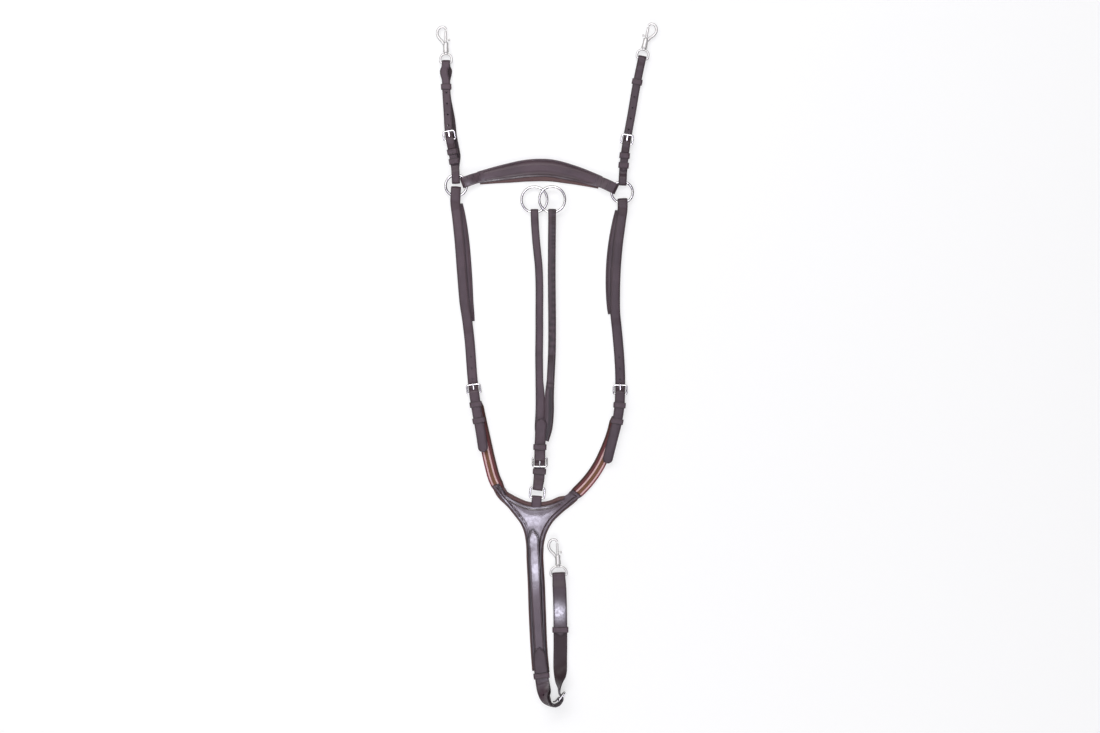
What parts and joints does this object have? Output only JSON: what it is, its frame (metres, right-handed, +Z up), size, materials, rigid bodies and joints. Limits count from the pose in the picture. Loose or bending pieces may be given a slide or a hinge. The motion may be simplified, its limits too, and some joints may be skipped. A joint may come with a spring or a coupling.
{
  "type": "breastplate",
  "caption": "Horse breastplate laid flat: padded chest piece and girth strap, shoulder straps with elastic ends, wither pad, ringed martingale fork, and trigger snaps.",
  "frame": {"origin": "on the table, under the middle of the chest piece's padding", "axes": "+Z up from the table, out of the grain side; +Y along the longest extent, from the chest piece to the wither end; +X to the right seen from above"},
  "size_m": [0.3547, 1.0937, 0.0303],
  "materials": {
    "leather": "satin, waxed grain",
    "lining": "soft matte",
    "webbing": "woven, matte, with pale stripes",
    "nickel": "polished nickel"
  },
  "bodies": {
    "breastplate": {"chest_chape": "leather", "chest_face": "leather", "chest_padding": "lining", "elastic_chape_left": "leather", "elastic_chape_right": "leather", "elastic_left": "webbing", "elastic_right": "webbing", "girth_billet": "leather", "girth_buckle": "nickel", "girth_keeper": "leather", "girth_overlay": "leather", "girth_snap_keeper": "leather", "shoulder_buckle_left": "nickel", "shoulder_buckle_right": "nickel", "shoulder_keeper_left_1": "leather", "shoulder_keeper_left_2": "leather", "shoulder_keeper_right_1": "leather", "shoulder_keeper_right_2": "leather", "shoulder_pad_left": "lining", "shoulder_pad_right": "lining", "shoulder_strap_left": "leather", "shoulder_strap_right": "leather", "wither_face": "leather", "wither_lining": "lining"},
    "wither_ring_left": {"wither_ring_left": "nickel"},
    "top_strap_left": {"top_strap_left": "leather", "top_buckle_left": "nickel", "top_keeper_left_1": "leather", "top_keeper_left_2": "leather"},
    "top_prong_left": {"top_prong_left": "nickel"},
    "top_runner_left": {"top_runner_left": "leather"},
    "shoulder_prong_left": {"shoulder_prong_left": "nickel"},
    "fork_ring_left": {"fork_ring_left": "nickel"},
    "wither_ring_right": {"wither_ring_right": "nickel"},
    "top_strap_right": {"top_strap_right": "leather", "top_buckle_right": "nickel", "top_keeper_right_1": "leather", "top_keeper_right_2": "leather"},
    "top_prong_right": {"top_prong_right": "nickel"},
    "top_runner_right": {"top_runner_right": "leather"},
    "shoulder_prong_right": {"shoulder_prong_right": "nickel"},
    "fork_ring_right": {"fork_ring_right": "nickel"},
    "top_snap_left_swivel": {"top_snap_left_swivel": "nickel"},
    "top_snap_left_body": {"top_snap_left_body": "nickel"},
    "top_snap_left_bolt": {"top_snap_left_bolt": "nickel"},
    "top_snap_right_swivel": {"top_snap_right_swivel": "nickel"},
    "top_snap_right_body": {"top_snap_right_body": "nickel"},
    "top_snap_right_bolt": {"top_snap_right_bolt": "nickel"},
    "girth_snap_swivel": {"girth_snap_swivel": "nickel"},
    "girth_snap_body": {"girth_snap_body": "nickel"},
    "girth_snap_bolt": {"girth_snap_bolt": "nickel"},
    "girth_prong": {"girth_prong": "nickel"},
    "dee": {"chest_dee": "nickel"},
    "fork": {"fork_strap": "leather", "fork_billet": "leather", "fork_buckle": "nickel", "fork_keeper_1": "leather", "fork_keeper_2": "leather"},
    "fork_prong": {"fork_prong": "nickel"}
  },
  "joints": [
    {"name": "wither_ring_left_spin", "type": "hinge", "parent": "breastplate", "child": "wither_ring_left", "pos_m": [-0.126, 0.53, 0.0069], "axis": [0, 0, 1], "continuous": true},
    {"name": "top_strap_left_swing", "type": "hinge", "parent": "breastplate", "child": "top_strap_left", "pos_m": [-0.126, 0.53, 0.0069], "axis": [0, 0, 1], "range_deg": [0, 12]},
    {"name": "top_prong_left_lift", "type": "hinge", "parent": "top_strap_left", "child": "top_prong_left", "pos_m": [-0.13582, 0.60308, 0.0095], "axis": [0.9836, 0.1804, 0], "range_deg": [0, 8]},
    {"name": "top_runner_left_slide", "type": "slide", "parent": "top_strap_left", "child": "top_runner_left", "axis": [-0.0343, 0.9994, 0], "range_m": [-0.005, 0.005]},
    {"name": "shoulder_prong_left_lift", "type": "hinge", "parent": "breastplate", "child": "shoulder_prong_left", "pos_m": [-0.09715, 0.19807, 0.0036], "axis": [0.9909, 0.1345, 0], "range_deg": [0, 6]},
    {"name": "wither_ring_right_spin", "type": "hinge", "parent": "breastplate", "child": "wither_ring_right", "pos_m": [0.1392, 0.5192, 0.0069], "axis": [0, 0, 1], "continuous": true},
    {"name": "top_strap_right_swing", "type": "hinge", "parent": "breastplate", "child": "top_strap_right", "pos_m": [0.1392, 0.5192, 0.0069], "axis": [0, 0, 1], "range_deg": [-12, 0]},
    {"name": "top_prong_right_lift", "type": "hinge", "parent": "top_strap_right", "child": "top_prong_right", "pos_m": [0.14605, 0.59708, 0.0079], "axis": [0.9876, -0.1571, 0], "range_deg": [0, 8]},
    {"name": "top_runner_right_slide", "type": "slide", "parent": "top_strap_right", "child": "top_runner_right", "axis": [0.193, 0.9812, 0], "range_m": [-0.005, 0.005]},
    {"name": "shoulder_prong_right_lift", "type": "hinge", "parent": "breastplate", "child": "shoulder_prong_right", "pos_m": [0.13601, 0.197, 0.0036], "axis": [0.9997, -0.0262, 0], "range_deg": [0, 6]},
    {"name": "top_snap_left_swing", "type": "hinge", "parent": "top_strap_left", "child": "top_snap_left_swivel", "pos_m": [-0.1423, 0.726, 0.0062], "axis": [1, 0.0077, 0], "range_deg": [-25, 25]},
    {"name": "top_snap_left_turn", "type": "hinge", "parent": "top_snap_left_swivel", "child": "top_snap_left_body", "pos_m": [-0.1423, 0.726, 0.0062], "axis": [-0.0077, 1, 0], "continuous": true},
    {"name": "top_snap_left_bolt_slide", "type": "slide", "parent": "top_snap_left_body", "child": "top_snap_left_bolt", "axis": [0.0077, -1, 0], "range_m": [0, 0.0075], "stiffness_N_per_m": 400, "springref_m": -0.004},
    {"name": "top_snap_right_swing", "type": "hinge", "parent": "top_strap_right", "child": "top_snap_right_swivel", "pos_m": [0.171, 0.733, 0.0062], "axis": [0.9796, -0.2008, 0], "range_deg": [-25, 25]},
    {"name": "top_snap_right_turn", "type": "hinge", "parent": "top_snap_right_swivel", "child": "top_snap_right_body", "pos_m": [0.171, 0.733, 0.0062], "axis": [0.2008, 0.9796, 0], "continuous": true},
    {"name": "top_snap_right_bolt_slide", "type": "slide", "parent": "top_snap_right_body", "child": "top_snap_right_bolt", "axis": [-0.2008, -0.9796, 0], "range_m": [0, 0.0075], "stiffness_N_per_m": 400, "springref_m": -0.004},
    {"name": "girth_snap_swing", "type": "hinge", "parent": "breastplate", "child": "girth_snap_swivel", "pos_m": [0.038, -0.093, 0.0072], "axis": [0.9986, 0.0522, 0], "range_deg": [-25, 25]},
    {"name": "girth_snap_turn", "type": "hinge", "parent": "girth_snap_swivel", "child": "girth_snap_body", "pos_m": [0.038, -0.093, 0.0072], "axis": [-0.0522, 0.9986, 0], "continuous": true},
    {"name": "girth_snap_bolt_slide", "type": "slide", "parent": "girth_snap_body", "child": "girth_snap_bolt", "axis": [0.0522, -0.9986, 0], "range_m": [0, 0.0075], "stiffness_N_per_m": 400, "springref_m": -0.004},
    {"name": "girth_prong_lift", "type": "hinge", "parent": "breastplate", "child": "girth_prong", "pos_m": [0.03849, -0.29077, 0.0154], "axis": [0.0048, 0.008, -1], "range_deg": [0, 6]},
    {"name": "dee_swing", "type": "hinge", "parent": "breastplate", "child": "dee", "pos_m": [0.003, 0.031, 0.0052], "axis": [0.9962, -0.0872, 0], "range_deg": [0, 40]},
    {"name": "fork_swing", "type": "hinge", "parent": "dee", "child": "fork", "pos_m": [0.00444, 0.04744, 0.0052], "axis": [0.9962, -0.0872, 0], "range_deg": [0, 40]},
    {"name": "fork_prong_lift", "type": "hinge", "parent": "fork", "child": "fork_prong", "pos_m": [0.00773, 0.095, 0.0077], "axis": [-1, 0.0062, 0], "range_deg": [0, 6]},
    {"name": "fork_ring_left_spin", "type": "hinge", "parent": "fork", "child": "fork_ring_left", "pos_m": [-0.001, 0.5075, 0.0062], "axis": [0, 0, 1], "continuous": true},
    {"name": "fork_ring_right_spin", "type": "hinge", "parent": "fork", "child": "fork_ring_right", "pos_m": [0.0274, 0.5075, 0.0108], "axis": [0, 0, 1], "continuous": true}
  ]
}
